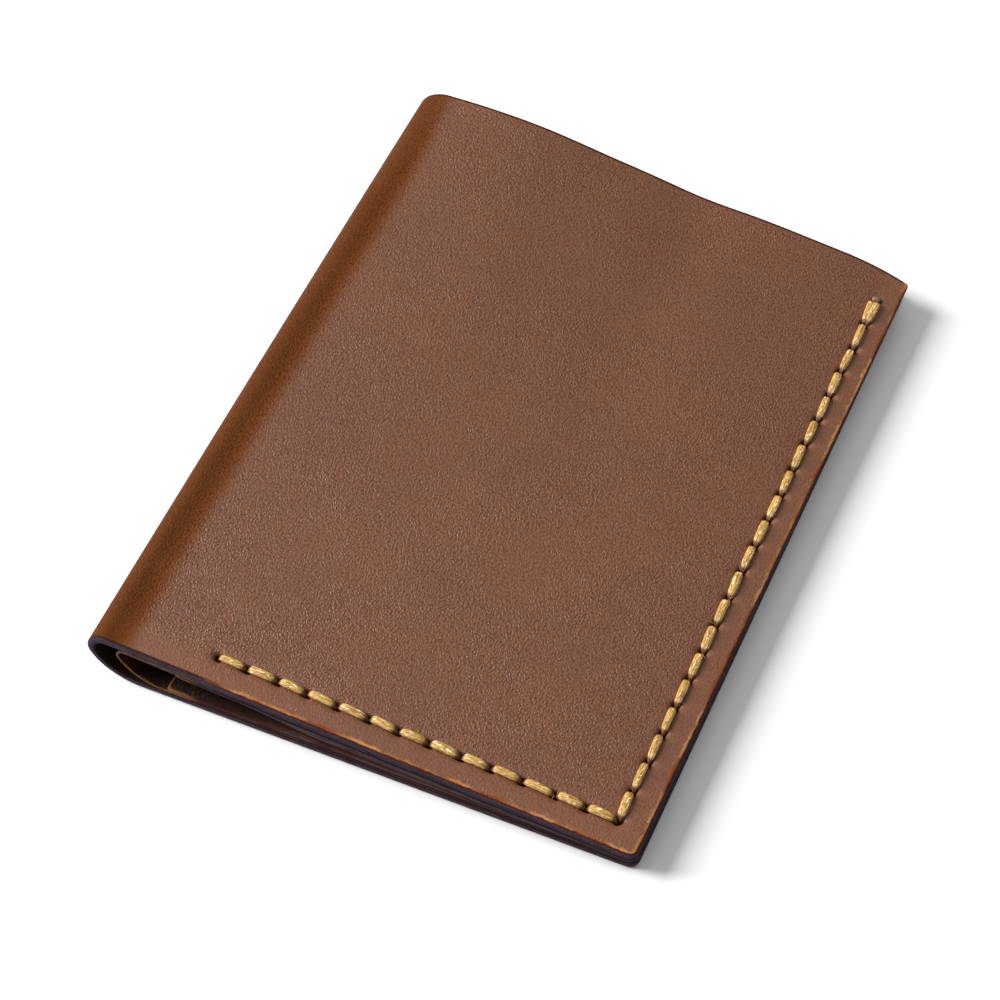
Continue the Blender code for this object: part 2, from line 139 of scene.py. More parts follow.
class Fold:
    """A layer's line round the closed section, worked out for whole arrays of points."""

    def __init__(self, depth, left, top_radius):
        self.depth, self.left, self.top_radius = depth, left, top_radius

    def section(self, y):
        """Radii, centres and lengths of the section's stretches at heights y."""
        depth = self.depth
        slope = between(COVER_SLOPE, y)
        r = between(self.top_radius, y) + 0 * y
        left = between(self.left, y)
        sine, cosine = np.sin(slope), np.cos(slope)
        rise = (WIDTH - left - r) * sine + (FREE_EDGE - depth - r) * cosine - depth - r
        growth = rise / ((1 - math.cos(LOWER_TURN)) * cosine)
        low_radius = r + growth
        tangent_x = left + r + growth * math.sin(LOWER_TURN)
        top_x, top_z = left + r, depth + r + growth * (1 - math.cos(LOWER_TURN))
        back = WIDTH - BACK_RECESS - tangent_x
        low = low_radius * LOWER_TURN
        top = r * (math.pi + slope - LOWER_TURN)
        front = ((WIDTH - depth * sine) - (top_x + r * sine)) / cosine
        return slope, r, low_radius, tangent_x, top_x, top_z, back, low, top, front

    def length(self, y):
        back, low, top, front = self.section(y)[6:]
        return back + low + top + front

    def settle(self, x, y):
        """How far the cover's top end sags at the spine, and its slow wave beside it."""
        upper = np.clip((y - BOTTOM) / HEIGHT, 0.0, 1.0) ** 2.5
        sag, proud, dip = (np.exp(-((x - middle) / reach) ** 2)
                           for middle, reach in (SAG_AT, PROUD_AT, DIP_AT))
        return upper * (TOP_END_RISE + TOP_END_WAVE[0] * proud - TOP_END_WAVE[1] * dip
                        - TOP_END_SAG * sag)

    def place(self, run, y, depth):
        """Row-frame points at a run along the line, a height y and a depth below the shell's face."""
        slope, r, low_radius, tangent_x, top_x, top_z, back, low, top, front = self.section(y)
        inward = depth - self.depth
        flat = run <= back
        lower = (run > back) & (run <= back + low)
        turn = np.where(lower, (run - back) / low_radius,
                        LOWER_TURN + (run - back - low) / r)
        turn = np.minimum(turn, math.pi + slope)
        reach = np.where(lower, low_radius, r) - inward
        x = np.where(lower, tangent_x, top_x) - reach * np.sin(turn)
        z = np.where(lower, self.depth + low_radius, top_z) - reach * np.cos(turn)
        past = np.maximum(run - (back + low + top), 0.0)
        x = x + past * np.cos(slope)
        z = z - past * np.sin(slope)
        x = np.where(flat, WIDTH - BACK_RECESS - run, x)
        z = np.where(flat, depth, z)
        z = z + self.settle(x, y) * smooth((run - back - low) / (0.4 * top))
        turned = smooth((run - back - low) / top)
        skew = FRONT_SKEW * x / WIDTH * turned + BACK_DROP * (1 - turned)
        return np.stack([x - WIDTH / 2, y - skew + FRONT_SKEW / 2, z], axis=-1)


SHELL_FOLD = Fold(0.0, SPINE_LEFT, SPINE_TOP_RADIUS)
LINER_FOLD = Fold(LINER_DEPTH, LINER_LEFT, LINER_TOP_RADIUS)


def filled(inset, y, depth, share):
    """Thickens the pocket's stitched bottom end, so that it fills its share of the fold's gap."""
    gap = np.clip(inset, 0, FULL_TO) * math.tan(COVER_SLOPE[0])
    gap = gap * smooth((FULL_TO + FULL_FADE - inset) / FULL_FADE)
    gap = gap * smooth((BOTTOM + FULL_HEIGHT - y) / FULL_HEIGHT)
    return depth + share * gap * np.clip((depth - POCKET_DEPTH) / POCKET, 0, 1)


def on_back(fold):
    """Places flat points on the back half."""
    def place(inset, y, depth):
        lean = between(BACK_LEAN, y) * smooth(1 - inset / (60 * MM))
        return fold.place(inset + lean, y, filled(inset, y, depth, FILL[0]))
    return place


def on_front(fold):
    """Places flat points on the front half."""
    def place(inset, y, depth):
        under = between(EDGE_UNDERCUT, y) * depth * np.exp(-np.maximum(inset, 0) / (5 * MM))
        return fold.place(fold.length(y) - inset - under, y, filled(inset, y, depth, FILL[1]))
    return place


# ---- seams ----

def edge_seam(jitter_seed):
    """Holes of the L-shaped seam, punched by hand: from the spine end of the bottom row to the top."""
    dice = random.Random(jitter_seed)
    corner = (SIDE_MARGIN + SIDE_LEAN[0], BOTTOM + BOTTOM_MARGIN)

    def off(size):
        return dice.uniform(-size, size) * MM
    row = [(corner[0] + ROW_PITCH * i + off(0.13), corner[1] + off(0.07))
           for i in range(BOTTOM_STITCHES, 0, -1)]
    column = [(SIDE_MARGIN + between(SIDE_LEAN, corner[1] + PITCH * i) + off(0.07),
               corner[1] + PITCH * i + off(0.13)) for i in range(1, SIDE_STITCHES + 1)]
    return row + [corner] + column


def pocket_seam(jitter_seed):
    """Holes of the seam that closes a pocket on its spine side, from the mouth down."""
    dice = random.Random(jitter_seed)
    inset = POCKET_INNER - POCKET_SEAM_MARGIN
    top = POCKET_TOP - POCKET_SEAM_MARGIN
    return [(inset + dice.uniform(-0.06, 0.06) * MM, top - PITCH * i + dice.uniform(-0.1, 0.1) * MM)
            for i in range(POCKET_SEAM_STITCHES + 1)]


def seam_direction(holes, i):
    """Unit direction of the seam at hole i, halfway round where the seam turns a corner."""
    def unit(a, b):
        d = np.subtract(b, a)
        return d / np.linalg.norm(d)
    before = unit(holes[max(i - 1, 0)], holes[max(i, 1)])
    after = unit(holes[min(i, len(holes) - 2)], holes[min(i + 1, len(holes) - 1)])
    return unit((0, 0), before + after) if before @ after < 0.5 else after


def hole_dimples(holes, inset, y):
    """How deep the thread pulls the leather in at each hole, and how far painted shade reaches round
    it.
    """
    sink = np.zeros_like(inset)
    hole_shade = np.zeros_like(inset)
    for i, (hx, hy) in enumerate(holes):
        near = (abs(inset - hx) < 2.5 * MM) & (abs(y - hy) < 2.5 * MM)
        along = seam_direction(holes, i)
        dx, dy = (inset[near] - hx) / MM, (y[near] - hy) / MM
        a = dx * along[0] + dy * along[1]
        b = -dx * along[1] + dy * along[0]
        pull = 0.16 * np.exp(-(a * a / 1.3 + b * b / 0.8))
        slit = 0.62 * np.exp(-((a / 0.62) ** 4 + (b / 0.55) ** 4))
        sink[near] += (pull + slit) * MM
        # painted shade round the hole
        hole_shade[near] = np.maximum(hole_shade[near], np.exp(-(a * a / 0.85 + b * b / 0.55)))
    return sink, hole_shade


def seam_trough(holes, inset, y):
    """Distance from the line of stitches, in millimetres."""
    best = np.full_like(inset, 9.0)
    for (ax, ay), (bx, by) in zip(holes, holes[1:]):
        dx, dy = bx - ax, by - ay
        t = np.clip(((inset - ax) * dx + (y - ay) * dy) / (dx * dx + dy * dy), 0, 1)
        best = np.minimum(best, np.hypot(inset - ax - t * dx, y - ay - t * dy))
    return best / MM


# Names and seams of the halves, True for the front
LABEL = {True: "front", False: "back"}
EDGE_HOLES = {True: edge_seam(21), False: edge_seam(22)}
POCKET_HOLES = {True: pocket_seam(41), False: pocket_seam(42)}


# ---- leather sheets ----

RIM_STEPS = 6               # rings of points across the thickness of a cut edge
EDGE_STEP = 0.045 * MM      # spacing of the points at a cut edge
HOLE_STEP = 0.17 * MM       # and at a stitch hole


def graded(start, stop, edges, holes, coarse):
    """Grid lines from start to stop: very close at edges, close at holes, coarse elsewhere."""
    lines = [start]
    while lines[-1] < stop:
        x = lines[-1]
        step = coarse
        for edge in edges:
            step = min(step, EDGE_STEP + 0.42 * abs(x - edge))
        for hole in holes:
            step = min(step, HOLE_STEP + 0.5 * max(0.0, abs(x - hole) - 0.6 * MM))
        lines.append(x + step)
    lines = np.array(lines)
    return start + (lines - start) * (stop - start) / (lines[-1] - start)


def hole_lines(holes):
    """Insets and heights at which the holes of an edge seam need fine grid lines."""
    return ([h[0] for h in holes[:BOTTOM_STITCHES]] + [SIDE_MARGIN],
            [h[1] for h in holes[BOTTOM_STITCHES:]])


def thinned(lines, room, close_room=0.0, close_from=math.inf):
    """Indices of about evenly spaced lines out of a graded set, with both ends."""
    kept = [0]
    for i in range(1, len(lines) - 1):
        gap = close_room if lines[i] > close_from else room
        if lines[i + 1] - lines[kept[-1]] > gap and lines[-1] - lines[i] > 0.5 * gap:
            kept.append(i)
    return kept + [len(lines) - 1]


def rounded(inset, y, corners):
    """Pulls grid points in corner squares onto quarter discs.  Corners: centre x, y, signs out."""
    for cx, cy, sx, sy in corners:
        a, b = (inset - cx) * sx, (y - cy) * sy
        inside = (a > 0) & (b > 0)
        scale = np.where(inside, np.maximum(a, b) / np.maximum(np.hypot(a, b), 1e-9), 1.0)
        inset = np.where(inside, cx + sx * a * scale, inset)
        y = np.where(inside, cy + sy * b * scale, y)
    return inset, y


class Sheet:
    """A closed leather layer: a fine face, a rounded rim and a coarser hidden face.

    Grid arrays are indexed [row, column].  edge is each point's distance from the cut edge, and
    butts names the columns (0 or -1) where the layer goes on in a neighbouring piece.
    """

    def __init__(self, inset, y, edge, depths, thin, bevel, butts=()):
        self.inset, self.y, self.edge = inset, y, edge
        self.fine_depth, self.hidden_depth = depths
        self.rows, self.columns = thin
        self.bevel = bevel
        self.butts = [b % inset.shape[1] for b in butts]
        self.sink = np.zeros_like(inset)
        self.press = np.zeros_like(inset)

    def boundary(self):
        """Grid positions once round the rim."""
        rows, columns = self.inset.shape
        loop = [(0, c) for c in range(columns)]
        loop += [(r, columns - 1) for r in range(1, rows)]
        loop += [(rows - 1, c) for c in range(columns - 2, -1, -1)]
        loop += [(r, 0) for r in range(rows - 2, 0, -1)]
        return loop

    def outward(self, loop, ring):
        """Unit directions out of the sheet along its rim, and none across a butt."""
        tangent = np.roll(ring, -1, 0) - np.roll(ring, 1, 0)
        out = np.stack([tangent[:, 1], -tangent[:, 0]], -1)
        out /= np.maximum(np.linalg.norm(out, axis=1), 1e-12)[:, None]
        last_row = self.inset.shape[0] - 1
        for k, (r, c) in enumerate(loop):
            if c in self.butts:
                out[k] = (0, -1) if r == 0 else (0, 1) if r == last_row else (0, 0)
        return out

    def build(self, name, place, run_of, material, paint, wear):
        rows, columns = self.inset.shape
        toward = 1.0 if self.hidden_depth > self.fine_depth else -1.0
        thickness = abs(self.hidden_depth - self.fine_depth)
        width, drop = self.bevel
        lip = np.clip(1 - self.edge / width, 0, 1)
        fall = drop * (1 - np.sqrt(np.maximum(1 - lip * lip, 0)))
        depth = self.fine_depth + toward * (fall + self.sink)
        flat = [np.stack([self.inset, self.y, depth], -1).reshape(-1, 3)]
        band = [(width - self.edge).ravel()]
        press = [self.press.ravel()]
        index = np.arange(rows * columns).reshape(rows, columns)
        faces = quads_of(index)

        # the rim, ring by ring across the cut edge
        loop = self.boundary()
        count = len(loop)
        previous = np.array([index[p] for p in loop])
        ring = flat[0][previous]
        out = self.outward(loop, ring)
        inner_bevel = min(0.12 * MM, 0.3 * thickness)
        start = self.fine_depth + toward * drop
        end = self.hidden_depth - toward * inner_bevel
        total = rows * columns
        for s in range(1, RIM_STEPS + 1):
            share = s / RIM_STEPS
            line = ring.copy()
            line[:, :2] += out * 0.07 * thickness * math.sin(math.pi * share)
            line[:, 2] += (end - start) * share
            flat.append(line)
            band.append(np.full(count, width + thickness * share))
            press.append(np.zeros(count))
            current = np.arange(total, total + count)
            total += count
            pair = np.column_stack([previous, current])
            faces += quads_of(np.vstack([pair, pair[:1]]))
            previous = current

        # the hidden face, with fewer points, joined to the rim by fans
        hidden = flat[0].reshape(rows, columns, 3)[np.ix_(self.rows, self.columns)].copy()
        hidden[..., 2] = self.hidden_depth
        position = {(r, c): (i, j) for i, r in enumerate(self.rows)
                    for j, c in enumerate(self.columns)}
        kept = [k for k, p in enumerate(loop) if p in position]
        for k in kept:
            hidden[position[loop[k]]][:2] -= out[k] * inner_bevel
        small = np.arange(len(self.rows) * len(self.columns)) + total
        small = small.reshape(len(self.rows), len(self.columns))
        flat.append(hidden.reshape(-1, 3))
        band.append(np.full(small.size, width + 2 * thickness))
        press.append(np.zeros(small.size))
        faces += quads_of(small)
        for k, j in zip(kept, kept[1:] + [kept[0] + count]):
            fan = [int(previous[i % count]) for i in range(k, j + 1)]
            corners = [int(small[position[loop[j % count]]]), int(small[position[loop[k]]])]
            faces.append(fan + corners)

        flat = np.concatenate(flat)
        inset, y, depth = flat.T
        obj = closed_mesh(name, place(inset, y, depth), faces, material)
        drawn = np.stack([run_of(inset, y), y, depth], -1)
        note(obj, "flat", drawn / MM)
        note(obj, "band", np.concatenate(band) / MM)
        note(obj, "press", np.concatenate(press))
        note(obj, "paint", paint(inset, y))
        note(obj, "wear", wear(inset, y))
        return obj


def quads_of(index):
    quads = np.stack([index[:-1, :-1], index[:-1, 1:], index[1:, 1:], index[1:, :-1]], -1)
    return quads.reshape(-1, 4).tolist()


def note(obj, name, values):
    """Stores a number or a vector per point on a mesh, for its material to read."""
    values = np.asarray(values, np.float32)
    kind, field = ("FLOAT", "value") if values.ndim == 1 else ("FLOAT_VECTOR", "vector")
    layer = obj.data.attributes.new(name, kind, "POINT")
    layer.data.foreach_set(field, values.ravel())


def linked(name, data):
    """A new object in the scene."""
    obj = bpy.data.objects.new(name, data)
    bpy.context.scene.collection.objects.link(obj)
    return obj


def closed_mesh(name, points, faces, material, sharp=55.0):
    mesh = bpy.data.meshes.new(name)
    mesh.from_pydata(np.asarray(points).tolist(), [], faces)
    shape = bmesh.new()
    shape.from_mesh(mesh)
    bmesh.ops.recalc_face_normals(shape, faces=shape.faces[:])
    shape.to_mesh(mesh)
    shape.free()
    mesh.shade_smooth()
    mesh.set_sharp_from_angle(angle=math.radians(sharp))
    mesh.materials.append(material)
    return linked(name, mesh)


def ripple(inset, y, seed, size, wave):
    """Gentle unevenness of a leather face, as a sum of a few slow waves."""
    dice = random.Random(seed)
    total = 0 * inset
    for _ in range(6):
        angle, phase = dice.uniform(0, math.pi), dice.uniform(0, 2 * math.pi)
        k = 2 * math.pi / (wave * dice.uniform(0.7, 1.5))
        total = total + np.sin(k * (inset * math.cos(angle) + y * math.sin(angle)) + phase)
    return size * total / 6


# ---- the leather pieces ----

STRIP_MIDDLES = (STRIP_SHARE / 2, (1 + STRIP_SHARE) / 2)
BEND_FROM = 64.0 * MM        # beyond this inset, columns follow the line where the piece ends
BEND_COLUMNS = 44
POCKET_COARSE = 1.1 * MM
POCKET_BEVEL = (0.2 * MM, 0.13 * MM)


def strip_run(fold, ends, share, y):
    """Run along the line at a share of the way between the back half's end and the front half's."""
    return ends[0] + (fold.length(y) - ends[0] - ends[1]) * share


def half_sheet(fold, ends, front, top, depths, lines, coarse, bevel):
    """The flat layer of one half, up to the middle of the nearest spine strip."""
    across = graded(0.0, BEND_FROM, [0.0], lines[0], coarse)
    up = graded(BOTTOM, top, [BOTTOM, top], lines[1], coarse)
    if front:
        reach = fold.length(up) - strip_run(fold, ends, STRIP_MIDDLES[1], up)
    else:
        reach = strip_run(fold, ends, STRIP_MIDDLES[0], up)
    share = np.sin(math.pi / 2 * np.arange(1, BEND_COLUMNS + 1) / BEND_COLUMNS)
    tail = BEND_FROM + (reach[:, None] - BEND_FROM) * share[None, :]
    inset = np.hstack([across[None, :] + 0 * up[:, None], tail])
    y = up[:, None] + 0 * inset
    edge = np.minimum(np.minimum(inset, y - BOTTOM), top - y)
    columns = thinned(inset[0], 3 * MM, 0.7 * MM, BEND_FROM - 4 * MM)
    rows = thinned(up, 3 * MM)
    r, sharp = (BOTTOM_CORNER, TOP_CORNER) if front else (SHELL_CORNER, SHELL_CORNER)
    inset, y = rounded(inset, y, [(r, BOTTOM + r, -1, -1), (sharp, top - sharp, -1, 1)])
    if front and top == TOP:
        y = y - (CORNER_TRIM * np.clip(1 - inset / CORNER_TRIM_REACH[0], 0, 1) ** 2
                 * smooth((y - top) / CORNER_TRIM_REACH[1] + 1))
    return Sheet(inset, y, edge, depths, (rows, columns), bevel, (-1,))


def spine_sheet(fold, ends, top, depths, bevel):
    """The stretch of a layer between the middles of the two spine strips."""
    up = graded(BOTTOM, top, [BOTTOM, top], [], 1.2 * MM)
    share = (1 - np.cos(math.pi * np.arange(37) / 36)) / 2
    start = strip_run(fold, ends, STRIP_MIDDLES[0], up)[:, None]
    stop = strip_run(fold, ends, STRIP_MIDDLES[1], up)[:, None]
    run = start + (stop - start) * share[None, :]
    y = up[:, None] + 0 * run
    edge = np.minimum(y - BOTTOM, top - y)
    thin = (thinned(up, 3 * MM), thinned(share, 0.09))
    return Sheet(run, y, edge, depths, thin, bevel, (0, -1))


def pocket_sheet(holes, seam_holes, inner_corner):
    """The card pocket, with its thumb notch and rounded corner on the spine side."""
    half = math.sqrt(NOTCH_RADIUS ** 2 - (NOTCH_RADIUS - NOTCH_DEPTH) ** 2)
    notch_x = POCKET_INNER / 2
    notch_ends = [notch_x - half, notch_x + half]
    hole_x, hole_y = hole_lines(holes)
    hole_x.append(seam_holes[0][0])
    hole_y = [y for y in hole_y if y < POCKET_TOP] + [h[1] for h in seam_holes]
    across = graded(0.0, POCKET_INNER, [0.0, POCKET_INNER] + notch_ends, hole_x, POCKET_COARSE)
    up = graded(BOTTOM, POCKET_TOP, [BOTTOM, POCKET_TOP], hole_y, POCKET_COARSE)
    off = np.abs(across - notch_x)
    mouth = np.where(off < half, NOTCH_DEPTH - NOTCH_RADIUS
                     + np.sqrt(np.maximum(NOTCH_RADIUS ** 2 - off ** 2, 0)), 0.0)
    slope = np.where(off < half, off / np.sqrt(np.maximum(NOTCH_RADIUS ** 2 - off ** 2, 1e-12)), 0.0)
    inset, y = np.meshgrid(across, up)
    lean = np.clip((y - POCKET_TOP + 3.5 * NOTCH_DEPTH) / (3.5 * NOTCH_DEPTH), 0, 1)
    to_mouth = (POCKET_TOP - y) / np.hypot(1, slope)[None, :]
    y = y - mouth[None, :] * lean
    edge = np.minimum(np.minimum(inset, POCKET_INNER - inset), np.minimum(y - BOTTOM, to_mouth))
    r, s = SHELL_CORNER, inner_corner
    inset, y = rounded(inset, y, [(r, BOTTOM + r, -1, -1), (POCKET_INNER - s, BOTTOM + s, 1, -1)])
    thin = (thinned(up, 3 * MM), thinned(across, 1.5 * MM))
    return Sheet(inset, y, edge, (STACK, POCKET_DEPTH), thin, POCKET_BEVEL)


# ---- thread ----

def spline(points, count):
    """A Catmull-Rom curve through the points, at count even steps."""
    p = np.array(points, float)
    p = np.vstack([2 * p[0] - p[1], p, 2 * p[-1] - p[-2]])
    at = np.linspace(0, len(points) - 1 - 1e-9, count)
    k = at.astype(int)
    t = (at - k)[:, None]
    a, b, c, d = p[k], p[k + 1], p[k + 2], p[k + 3]
    return 0.5 * (2 * b + (c - a) * t + (2 * a - 5 * b + 4 * c - d) * t * t
                  + (3 * b - a - 3 * c + d) * t ** 3)


class Thread:
    """Collects stitches of one seam as closed strands in flat coordinates."""

    def __init__(self, seed):
        self.dice = random.Random(seed)
        self.points, self.faces, self.strand, self.dive_shade = [], [], [], []
        self.count = 0

    def tube(self, centres, across, half_width, half_height, lobes, around=20, dive_shade=0.0):
        """A closed tube along 3-D centres; across is the direction of its wide axis."""
        centres = np.asarray(centres)
        steps = len(centres)
        tangent = np.gradient(centres, axis=0)
        tangent /= np.linalg.norm(tangent, axis=1)[:, None]
        wide = across - tangent * (tangent @ across)[:, None]
        wide /= np.linalg.norm(wide, axis=1)[:, None]
        rise = np.cross(wide, tangent)
        run = np.r_[0, np.cumsum(np.linalg.norm(np.diff(centres, axis=0), axis=1))]
        angle = 2 * math.pi * np.arange(around) / around
        turn = self.dice.uniform(0, 2 * math.pi)
        depth, number, twist = lobes
        swell = 1 + depth * np.cos(number * angle[None, :] + turn + twist * run[:, None] / MM)
        ring_w = np.sign(np.cos(angle)) * np.abs(np.cos(angle)) ** 0.8
        ring_h = np.sign(np.sin(angle)) * np.abs(np.sin(angle)) ** 0.8
        rings = (centres[:, None, :]
                 + wide[:, None, :] * (half_width[:, None] * ring_w * swell)[..., None]
                 + rise[:, None, :] * (half_height[:, None] * ring_h * swell)[..., None])
        start = len(self.points)
        self.points += rings.reshape(-1, 3).tolist()
        self.count += 1
        self.dive_shade += np.repeat(np.broadcast_to(dive_shade, steps), around).tolist()
        side = 3.0 * abs(2 * np.arange(around) / around - 1)
        along, side = np.meshgrid(run / MM, side, indexing="ij")
        own = np.full(along.shape, 7.3 * self.count)      # sets each strand's pattern apart
        self.strand += np.stack([along, side, own], -1).reshape(-1, 3).tolist()
        index = start + np.arange(steps * around).reshape(steps, around)
        self.faces += quads_of(np.hstack([index, index[:, :1]]))
        self.faces += [index[0].tolist(), index[-1].tolist()]

    def stitch(self, head, tail, inward, face_depth, up, crown, width=1.0):
        """One stitch from its blunt head to its tapering tail.  up is -1 on outer faces, 1 inside."""
        dice = self.dice
        head, tail = np.array(head), np.array(tail)
        length = np.linalg.norm(tail - head) / MM
        along = (tail - head) / (length * MM)
        side = np.array([-along[1], along[0]])
        side *= np.sign(side @ inward) or 1.0
        w = 0.51 * width * dice.uniform(0.93, 1.08)
        h = crown / 2 * dice.uniform(0.94, 1.06)
        slant_head, slant_tail = 0.09 + dice.uniform(-0.04, 0.05), -0.10 + dice.uniform(-0.05, 0.04)
        table = [                   # along the stitch, height, half width, half height
            (0.12, -0.62, 0.42 * w, 0.60 * h),
            (0.22, -0.30, 0.62 * w, 0.72 * h),
            (0.46, 0.00, 0.84 * w, 0.88 * h),
            (0.82, 0.80 * h, 1.04 * w, h),
            (0.40 * length, 1.06 * h, 1.08 * w, 1.02 * h),
            (0.60 * length, 1.00 * h, 1.05 * w, h),
            (length - 1.20, 0.84 * h, 1.00 * w, 0.97 * h),
            (length - 0.80, 0.35 * h, 0.90 * w, 0.92 * h),
            (length - 0.46, -0.16, 0.70 * w, 0.80 * h),
            (length - 0.20, -0.62, 0.42 * w, 0.60 * h),
        ]
        curve = spline(table, 30)
        share = curve[:, 0] / length
        offset = slant_head + (slant_tail - slant_head) * share
        flat = head[None, :] + (along[None, :] * curve[:, :1] + side[None, :] * offset[:, None]) * MM
        depth = face_depth + up * curve[:, 1] * MM
        centres = np.column_stack([flat, depth])
        self.tube(centres, np.array([side[0], side[1], 0.0]), curve[:, 2] * MM, curve[:, 3] * MM,
                  (0.06, 6, 0.5), dive_shade=smooth((0.9 * h - curve[:, 1]) / 0.40))

    def seam(self, holes, inward_at, face_depth_at, up, crown, last_double=False):
        """A stitch between each two holes, the last one sewn twice where last_double says so."""
        for i in range(len(holes) - 1):
            a, b = holes[i], holes[i + 1]
            # on the side, the stitches taper down toward the corner, against the holes' order
            on_side = len(holes) > POCKET_SEAM_STITCHES + 1 and i >= BOTTOM_STITCHES
            head, tail = (b, a) if on_side else (a, b)
            depth = face_depth_at((a[1] + b[1]) / 2)
            inward = np.array(inward_at(i))
            if last_double and i == len(holes) - 2:
                for shift, thicker in ((-0.50, 1.25), (0.46, 1.0)):
                    move = inward * shift * MM
                    self.stitch(np.add(head, 0.8 * move), np.add(tail, 0.5 * move), inward, depth,
                                up, crown * thicker, 0.98)
            else:
                self.stitch(head, tail, inward, depth, up, crown)

    def build(self, name, place, material):
        flat = np.array(self.points)
        obj = closed_mesh(name, place(*flat.T), self.faces, material, sharp=70.0)
        note(obj, "strand", self.strand)
        note(obj, "dive_shade", self.dive_shade)
        return obj


def frayed_fibres(thread, holes, seed, number):
    """Short loose hairs of thread that stand up beside some holes."""
    dice = random.Random(seed)
    for _ in range(number):
        hx, hy = dice.choice(holes)
        angle = dice.uniform(0, 2 * math.pi)
        x, y = hx + 0.25 * MM * math.cos(angle), hy + 0.25 * MM * math.sin(angle)
        length = dice.uniform(0.5, 1.1)
        bend = dice.uniform(-0.9, 0.9)
        table = []
        for s in range(5):
            t = s / 4
            table.append((x + length * t * MM * math.cos(angle + bend * t),
                          y + length * t * MM * math.sin(angle + bend * t),
                          -(0.02 + 0.34 * math.sin(math.pi * (0.12 + 0.62 * t))) * MM))
        curve = spline(table, 12)
        size = np.linspace(0.045, 0.018, 12) * MM
        thread.tube(curve, np.array([0.3, 0.2, 1.0]), size, size, (0.0, 1, 0.0), around=6)


def melted_end(thread, hole):
    """The sealed end of the thread: a small flattened bead in the last hole."""
    x, y = hole
    table = [(x + 0.10 * MM, y + 0.10 * MM, 0.5 * MM), (x + 0.06 * MM, y + 0.22 * MM, 0.02 * MM),
             (x, y + 0.36 * MM, -0.26 * MM), (x - 0.02 * MM, y + 0.44 * MM, -0.46 * MM)]
    size = np.array([0.30, 0.40, 0.56, 0.62, 0.60, 0.50, 0.30, 0.05]) * MM
    thread.tube(spline(table, 8), np.array([1.0, 0.0, 0.0]), size, 0.85 * size, (0.05, 3, 1.0))


# ---- materials ----

GRAIN_TURN, SCUFF_TURN = math.radians(-18), math.radians(-40)
# painted shade in and around the stitch holes
HOLE_SHADE_COLOUR = (0.026, 0.009, 0.004)
SCUFF_COLOUR = (0.42, 0.26, 0.19)
FLESH_SHADE_COLOUR = (0.014, 0.007, 0.005)     # the hidden side of a layer, near black as painted shade for the dark inside of the holder


class Shader:
    """A small helper for building a Principled material from nodes."""

    def __init__(self, name):
        self.material = bpy.data.materials.new(name)
        self.material.use_nodes = True
        self.tree = self.material.node_tree
        self.surface = self.tree.nodes["Principled BSDF"]

    def put(self, socket, value):
        if isinstance(value, bpy.types.NodeSocket):
            self.tree.links.new(value, socket)
        elif isinstance(value, tuple) and socket.type == "RGBA":
            socket.default_value = (*value, 1.0)
        else:
            socket.default_value = value

    def node(self, kind, inputs=(), **settings):
        made = self.tree.nodes.new("ShaderNode" + kind)
        for key, value in settings.items():
            setattr(made, key, value)
        for key, value in dict(inputs).items():
            self.put(made.inputs[key], value)
        return made

    def attribute(self, name, output="Fac"):
        return self.node("Attribute", attribute_name=name).outputs[output]

    def math(self, operation, a, b=0.0, clamp=False):
        return self.node("Math", {0: a, 1: b}, operation=operation, use_clamp=clamp).outputs[0]

    def vector(self, operation, a, b):
        return self.node("VectorMath", {0: a, 1: b}, operation=operation).outputs[0]

    def span(self, value, low, high, to_low=0.0, to_high=1.0):
        """The value's smooth way from low to high, as a way from to_low to to_high."""
        inputs = {"Value": value, "From Min": low, "From Max": high, "To Min": to_low,
                  "To Max": to_high}
        return self.node("MapRange", inputs, interpolation_type="SMOOTHSTEP").outputs["Result"]

    def mix(self, share, a, b):
        return self.node("Mix", {0: share, 6: a, 7: b}, data_type="RGBA").outputs[2]

    def noise(self, vector, scale, detail=2.0, rough=0.5):
        inputs = {"Vector": vector, "Scale": scale, "Detail": detail, "Roughness": rough}
        return self.node("TexNoise", inputs).outputs["Fac"]

    def stretched(self, vector, scale, turn=0.0):
        """The vector turned about the depth axis and scaled, for drawn-out patterns."""
        return self.node("Mapping", {"Vector": vector, "Rotation": (0, 0, turn), "Scale": scale},
                         vector_type="TEXTURE").outputs[0]

    def set(self, **inputs):
        for key, value in inputs.items():
            self.put(self.surface.inputs[key.replace("_", " ")], value)


def leather_grain(s, flat, press):
    """Short creases that meet like a net, in patches, flattened where the leather is pressed.

    Gives how high the grain stands, the surface's whole height and how much is left unpressed.
    """
    wander = s.node("TexNoise", {"Vector": flat, "Scale": 0.25, "Detail": 1.0}).outputs["Color"]
    warped = s.vector("ADD", flat, s.vector("MULTIPLY", wander, (1.4, 1.4, 0.0)))
    drawn = s.stretched(warped, (0.34, 0.50, 0.6), GRAIN_TURN)
    cells = s.node("TexVoronoi", {"Vector": drawn, "Scale": 1.0, "Randomness": 1.0},
                   feature="DISTANCE_TO_EDGE").outputs["Distance"]
    pebble = s.span(cells, 0.0, 0.38)
    crease = s.noise(s.stretched(flat, (0.27, 0.44, 0.5), GRAIN_TURN), 1.0, 1.0, 0.5)
    crease = s.span(crease, 0.30, 0.62)
    fine = s.noise(flat, 4.2, 2.0, 0.6)
    patch = s.span(s.noise(flat, 0.085, 2.0), 0.36, 0.66, 0.72, 1.0)
    free = s.math("SUBTRACT", 1.0, s.math("MULTIPLY", press, 0.60), clamp=True)
    amount = s.math("MULTIPLY", patch, free)
    grain = s.math("ADD", s.math("MULTIPLY", pebble, 0.75), s.math("MULTIPLY", crease, 0.60))
    height = s.math("ADD", s.math("MULTIPLY", grain, amount), s.math("MULTIPLY", fine, 0.12))
    return grain, height, free


